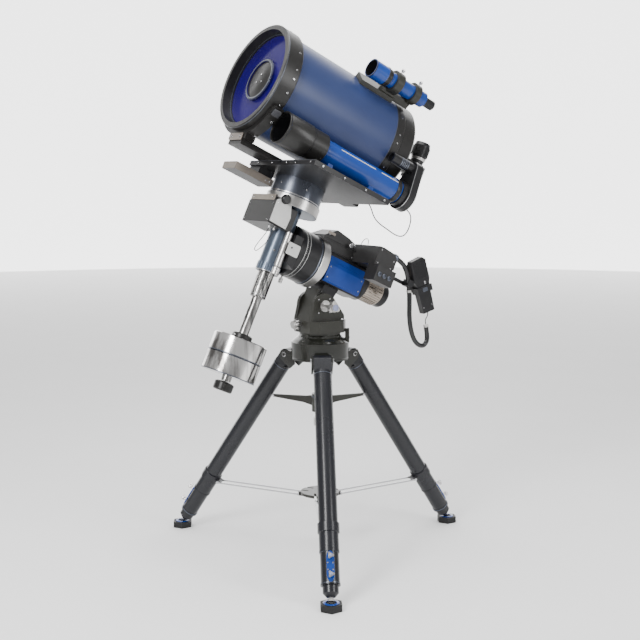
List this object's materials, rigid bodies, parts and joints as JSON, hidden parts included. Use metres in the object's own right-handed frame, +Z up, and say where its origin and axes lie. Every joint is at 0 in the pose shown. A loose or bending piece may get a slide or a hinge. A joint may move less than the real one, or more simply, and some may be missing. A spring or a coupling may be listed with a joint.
{
  "type": "schmidt cassegrain telescope",
  "caption": "Large compound reflector on a motorised equatorial mount and field tripod, with guide scope, finder, counterweights and wired handset.",
  "frame": {"origin": "centre of the whole object's footprint box, at floor level", "axes": "+Z up; -X the way the front of the tube points, seen from above; +Y to the left of a person looking along +X"},
  "size_m": [1.1934, 1.1966, 2.0132],
  "materials": {
    "tube_navy": "satin",
    "cell_black": "satin",
    "corrector_glass": "gloss",
    "mirror_glass": "gloss",
    "black_satin": "satin",
    "base_black": "gloss",
    "motor_grey": "satin",
    "steel_blue": "satin",
    "gunmetal": "satin",
    "aluminium": "satin",
    "chrome": "gloss",
    "steel": "satin",
    "blue_gloss": "gloss",
    "cover_blue": "gloss",
    "plastic_black": "satin",
    "rubber_black": "satin"
  },
  "bodies": {
    "tripod": {"tripod_crown": "base_black"},
    "leg_1": {"leg_1_tube": "black_satin"},
    "leg_1_lower": {"leg_1_inner": "black_satin"},
    "leg_1_pad": {"leg_1_foot": "rubber_black"},
    "leg_1_lock_upper": {"leg_1_knob_upper": "aluminium"},
    "leg_1_lock_lower": {"leg_1_knob_lower": "aluminium"},
    "leg_1_ties": {"leg_1_tie_rods": "steel"},
    "leg_2": {"leg_2_tube": "black_satin"},
    "leg_2_lower": {"leg_2_inner": "black_satin"},
    "leg_2_pad": {"leg_2_foot": "rubber_black"},
    "leg_2_lock_upper": {"leg_2_knob_upper": "aluminium"},
    "leg_2_lock_lower": {"leg_2_knob_lower": "aluminium"},
    "leg_2_ties": {"leg_2_tie_rods": "steel"},
    "leg_3": {"leg_3_tube": "black_satin"},
    "leg_3_lower": {"leg_3_inner": "black_satin"},
    "leg_3_pad": {"leg_3_foot": "rubber_black"},
    "leg_3_lock_upper": {"leg_3_knob_upper": "aluminium"},
    "leg_3_lock_lower": {"leg_3_knob_lower": "aluminium"},
    "leg_3_ties": {"leg_3_tie_rods": "steel"},
    "disc": {"tie_disc": "black_satin"},
    "tension": {"tension_knob": "aluminium"},
    "spreader": {"leg_spreader": "black_satin"},
    "azimuth_base": {"azimuth_fork": "base_black"},
    "azimuth_screw": {"azimuth_knob": "aluminium"},
    "altitude_screw": {"altitude_knob": "aluminium"},
    "polar": {"polar_housing": "black_satin", "housing_cover": "cover_blue", "ra_motor_box": "motor_grey", "control_box": "motor_grey", "handset_bracket": "black_satin", "handset": "plastic_black", "handset_cord": "rubber_black"},
    "ra": {"setting_drum": "black_satin", "tee_block": "black_satin", "dec_housing": "steel_blue", "dec_motor_box": "motor_grey", "counterweight_shaft": "steel"},
    "ota": {"dec_head": "gunmetal", "saddle_plate": "black_satin", "dovetail_rail": "cell_black", "main_tube": "tube_navy", "front_ring": "cell_black", "corrector": "corrector_glass", "rear_cell": "cell_black", "guide_scope": "blue_gloss", "guide_camera": "black_satin", "guide_cable": "rubber_black", "finder": "blue_gloss", "finder_mount": "black_satin"},
    "mirror": {"primary_mirror": "mirror_glass"},
    "focuser": {"focus_knob": "aluminium"},
    "ocular": {"eyepiece": "plastic_black"},
    "finder_ocular": {"finder_eyepiece": "plastic_black"},
    "upper_weight": {"weight_upper": "chrome"},
    "lower_weight": {"weight_lower": "chrome"},
    "lock_collar": {"weight_lock_collar": "gunmetal"},
    "end_knob": {"shaft_end_knob": "gunmetal"},
    "ra_clamp": {"ra_clamp_screw": "aluminium"},
    "dec_lock": {"dec_clamp": "aluminium"},
    "clutch": {"clutch_knob": "plastic_black"}
  },
  "joints": [
    {"name": "leg_1_fold", "type": "hinge", "parent": "tripod", "child": "leg_1", "pos_m": [0.0428, 0, 0.775], "axis": [0, 1, 0], "range_deg": [0, 31]},
    {"name": "leg_1_extend", "type": "slide", "parent": "leg_1", "child": "leg_1_lower", "axis": [0.5621, 0, -0.8271], "range_m": [0, 0.3]},
    {"name": "leg_1_pad_tilt", "type": "hinge", "parent": "leg_1_lower", "child": "leg_1_pad", "pos_m": [0.55454, 0, 0.022], "axis": [0, 1, 0], "range_deg": [-10, 10]},
    {"name": "leg_1_upper_lock_turn", "type": "hinge", "parent": "leg_1", "child": "leg_1_lock_upper", "pos_m": [0.49766, 0, 0.16885], "axis": [0.8271, 0, 0.5621], "range_deg": [-180, 180]},
    {"name": "leg_1_lower_lock_turn", "type": "hinge", "parent": "leg_1", "child": "leg_1_lock_lower", "pos_m": [0.53419, 0, 0.11509], "axis": [0.8271, 0, 0.5621], "range_deg": [-180, 180]},
    {"name": "leg_1_ties_swing", "type": "hinge", "parent": "leg_1", "child": "leg_1_ties", "pos_m": [0.3673, 0, 0.2157], "axis": [0, 1, 0], "range_deg": [0, 56]},
    {"name": "leg_2_fold", "type": "hinge", "parent": "tripod", "child": "leg_2", "pos_m": [-0.1627, 0.11865, 0.775], "axis": [-0.866, -0.5, 0], "range_deg": [0, 31]},
    {"name": "leg_2_extend", "type": "slide", "parent": "leg_2", "child": "leg_2_lower", "axis": [-0.281, 0.4868, -0.8271], "range_m": [0, 0.3]},
    {"name": "leg_2_pad_tilt", "type": "hinge", "parent": "leg_2_lower", "child": "leg_2_pad", "pos_m": [-0.41857, 0.56182, 0.022], "axis": [-0.866, -0.5, 0], "range_deg": [-10, 10]},
    {"name": "leg_2_upper_lock_turn", "type": "hinge", "parent": "leg_2", "child": "leg_2_lock_upper", "pos_m": [-0.39013, 0.51256, 0.16885], "axis": [-0.4135, 0.7163, 0.5621], "range_deg": [-180, 180]},
    {"name": "leg_2_lower_lock_turn", "type": "hinge", "parent": "leg_2", "child": "leg_2_lock_lower", "pos_m": [-0.4084, 0.54421, 0.11509], "axis": [-0.4135, 0.7163, 0.5621], "range_deg": [-180, 180]},
    {"name": "leg_2_ties_swing", "type": "hinge", "parent": "leg_2", "child": "leg_2_ties", "pos_m": [-0.32495, 0.39967, 0.2157], "axis": [-0.866, -0.5, 0], "range_deg": [0, 56]},
    {"name": "leg_3_fold", "type": "hinge", "parent": "tripod", "child": "leg_3", "pos_m": [-0.1627, -0.11865, 0.775], "axis": [0.866, -0.5, 0], "range_deg": [0, 31]},
    {"name": "leg_3_extend", "type": "slide", "parent": "leg_3", "child": "leg_3_lower", "axis": [-0.281, -0.4868, -0.8271], "range_m": [0, 0.3]},
    {"name": "leg_3_pad_tilt", "type": "hinge", "parent": "leg_3_lower", "child": "leg_3_pad", "pos_m": [-0.41857, -0.56182, 0.022], "axis": [0.866, -0.5, 0], "range_deg": [-10, 10]},
    {"name": "leg_3_upper_lock_turn", "type": "hinge", "parent": "leg_3", "child": "leg_3_lock_upper", "pos_m": [-0.39013, -0.51256, 0.16885], "axis": [-0.4135, -0.7163, 0.5621], "range_deg": [-180, 180]},
    {"name": "leg_3_lower_lock_turn", "type": "hinge", "parent": "leg_3", "child": "leg_3_lock_lower", "pos_m": [-0.4084, -0.54421, 0.11509], "axis": [-0.4135, -0.7163, 0.5621], "range_deg": [-180, 180]},
    {"name": "leg_3_ties_swing", "type": "hinge", "parent": "leg_3", "child": "leg_3_ties", "pos_m": [-0.32495, -0.39967, 0.2157], "axis": [0.866, -0.5, 0], "range_deg": [0, 56]},
    {"name": "disc_rise", "type": "slide", "parent": "tripod", "child": "disc", "axis": [0, 0, 1], "range_m": [0, 0.187]},
    {"name": "tension_drop", "type": "slide", "parent": "tripod", "child": "tension", "axis": [0, 0, 1], "range_m": [-0.0625, 0]},
    {"name": "spreader_turn", "type": "hinge", "parent": "tension", "child": "spreader", "pos_m": [-0.0942, 0, 0.59], "axis": [0, 0, 1], "range_deg": [0, 60.5]},
    {"name": "azimuth_turn", "type": "hinge", "parent": "tripod", "child": "azimuth_base", "pos_m": [-0.0942, 0, 0.866], "axis": [0, 0, 1], "range_deg": [-12, 12]},
    {"name": "azimuth_screw_turn", "type": "hinge", "parent": "azimuth_base", "child": "azimuth_screw", "pos_m": [-0.1765, 0.01, 0.902], "axis": [-1, 0, 0], "range_deg": [-180, 180]},
    {"name": "altitude_tilt", "type": "hinge", "parent": "azimuth_base", "child": "polar", "pos_m": [-0.1142, 0, 0.975], "axis": [0, 1, 0], "range_deg": [-9.5, 35.5]},
    {"name": "altitude_screw_turn", "type": "hinge", "parent": "azimuth_base", "child": "altitude_screw", "pos_m": [-0.1142, 0, 0.975], "axis": [0, -1, 0], "range_deg": [-180, 180]},
    {"name": "right_ascension", "type": "hinge", "parent": "polar", "child": "ra", "pos_m": [-0.2865, 0, 1.211], "axis": [0.91, 0, -0.4147], "range_deg": [-90, 90]},
    {"name": "declination", "type": "hinge", "parent": "ra", "child": "ota", "pos_m": [-0.2865, 0, 1.211], "axis": [0.4147, 0, 0.91], "range_deg": [-180, 180]},
    {"name": "ra_clamp_turn", "type": "hinge", "parent": "ra", "child": "ra_clamp", "pos_m": [-0.26539, 0, 1.09335], "axis": [0.4147, 0, 0.91], "range_deg": [-180, 180]},
    {"name": "dec_lock_turn", "type": "hinge", "parent": "ra", "child": "dec_lock", "pos_m": [-0.29378, -0.07, 1.21432], "axis": [0.4147, 0, 0.91], "range_deg": [-90, 90]},
    {"name": "clutch_turn", "type": "hinge", "parent": "ra", "child": "clutch", "pos_m": [-0.29668, -0.0753, 1.38158], "axis": [0, -1, 0], "range_deg": [-180, 180]},
    {"name": "end_knob_turn", "type": "hinge", "parent": "ra", "child": "end_knob", "pos_m": [-0.51251, 0, 0.71507], "axis": [0.4147, 0, 0.91], "range_deg": [-180, 180]},
    {"name": "weight_slide", "type": "slide", "parent": "ra", "child": "lock_collar", "axis": [0.4147, 0, 0.91], "range_m": [-0.018, 0.14]},
    {"name": "upper_weight_slide", "type": "slide", "parent": "ra", "child": "upper_weight", "axis": [0.4147, 0, 0.91], "range_m": [-0.018, 0.14]},
    {"name": "lower_weight_slide", "type": "slide", "parent": "ra", "child": "lower_weight", "axis": [0.4147, 0, 0.91], "range_m": [-0.018, 0.14]},
    {"name": "focus_turn", "type": "hinge", "parent": "ota", "child": "focuser", "pos_m": [0.18501, 0.095, 1.50219], "axis": [0.91, 0, -0.4147], "range_deg": [-720, 720]},
    {"name": "mirror_shift", "type": "slide", "parent": "ota", "child": "mirror", "axis": [0.91, 0, -0.4147], "range_m": [-0.0025, 0.0025]},
    {"name": "eyepiece_slide", "type": "slide", "parent": "ota", "child": "ocular", "axis": [0.4147, 0, 0.91], "range_m": [0, 0.02]},
    {"name": "finder_focus", "type": "slide", "parent": "ota", "child": "finder_ocular", "axis": [0.91, 0, -0.4147], "range_m": [0, 0.006]}
  ],
  "couplings": [
    {"joint": "leg_1_ties_swing", "follows": "leg_1_fold", "ratio": 1.8},
    {"joint": "leg_2_ties_swing", "follows": "leg_1_fold", "ratio": 1.8},
    {"joint": "leg_2_fold", "follows": "leg_1_fold", "ratio": 1},
    {"joint": "leg_3_ties_swing", "follows": "leg_1_fold", "ratio": 1.8},
    {"joint": "leg_3_fold", "follows": "leg_1_fold", "ratio": 1},
    {"joint": "disc_rise", "follows": "leg_1_fold", "m_per_rad": 0.34377},
    {"joint": "tension_drop", "follows": "leg_1_fold", "m_per_rad": -0.11459},
    {"joint": "spreader_turn", "follows": "leg_1_fold", "ratio": 1.9355},
    {"joint": "upper_weight_slide", "follows": "weight_slide", "ratio": 1},
    {"joint": "lower_weight_slide", "follows": "weight_slide", "ratio": 1},
    {"joint": "focus_turn", "follows": "mirror_shift", "rad_per_m": 5000}
  ]
}
